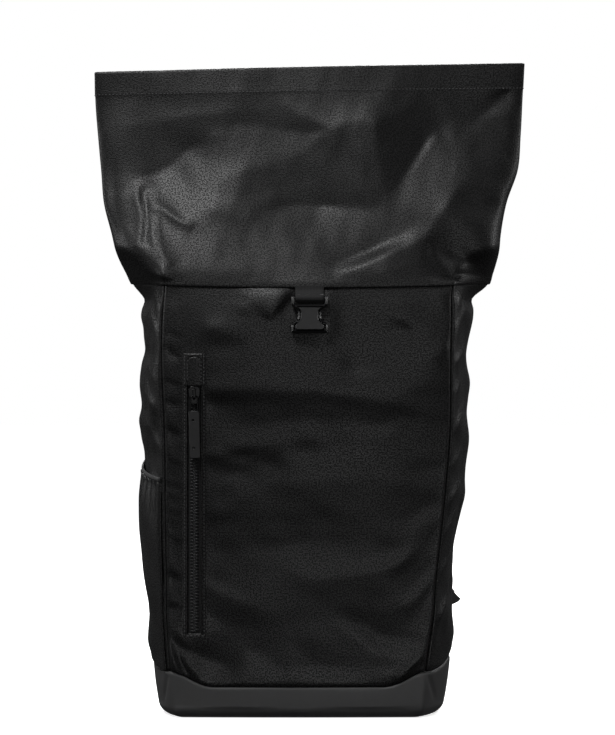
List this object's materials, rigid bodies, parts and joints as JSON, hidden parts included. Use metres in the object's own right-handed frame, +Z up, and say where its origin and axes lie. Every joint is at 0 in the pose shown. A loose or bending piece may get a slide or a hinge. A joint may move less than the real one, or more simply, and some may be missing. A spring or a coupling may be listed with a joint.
{
  "type": "roll-top backpack",
  "caption": "Roll-top laptop backpack standing open, with a tall creased collar, buckle socket, upright front zip, coated base and padded shoulder straps.",
  "frame": {"origin": "middle of the base's flat underside, on the floor", "axes": "+Z up the bag, -Y towards the front with the buckle and the zip, +X to the right of a viewer facing it"},
  "size_m": [0.466, 0.2098, 0.6971],
  "materials": {
    "cloth": "fine plain weave, dull sheen",
    "coated_base": "smooth matte coating",
    "padded_mesh": "open knit over foam",
    "webbing": "ribbed weave",
    "plastic": "fine moulded grain",
    "zip_teeth": "satin moulded",
    "slider_metal": "gloss black",
    "pull_rubber": "soft matte"
  },
  "bodies": {
    "bag": {"front_panel": "cloth", "side_panel_left": "cloth", "side_panel_right": "cloth", "roll_top_collar": "cloth", "side_pocket_left": "cloth", "zip_garage": "cloth", "strap_anchor_left": "cloth", "strap_anchor_right": "cloth", "base_boot": "coated_base", "back_panel": "padded_mesh", "shoulder_strap_left": "padded_mesh", "shoulder_strap_right": "padded_mesh", "side_pocket_binding": "webbing", "zip_tape": "webbing", "buckle_tab": "webbing", "closure_strap": "webbing", "strap_webbing_left": "webbing", "strap_webbing_right": "webbing", "haul_handle": "webbing", "buckle_socket": "plastic", "buckle_plug": "plastic", "strap_adjuster_left": "plastic", "strap_adjuster_right": "plastic", "zip_chain": "zip_teeth", "zip_slider": "slider_metal"},
    "pull": {"zip_pull": "pull_rubber"}
  },
  "joints": [
    {"name": "zip_pull_swing", "type": "hinge", "parent": "bag", "child": "pull", "pos_m": [-0.113, -0.0821, 0.3386], "axis": [-1, 0, 0], "range_deg": [0, 150]}
  ]
}
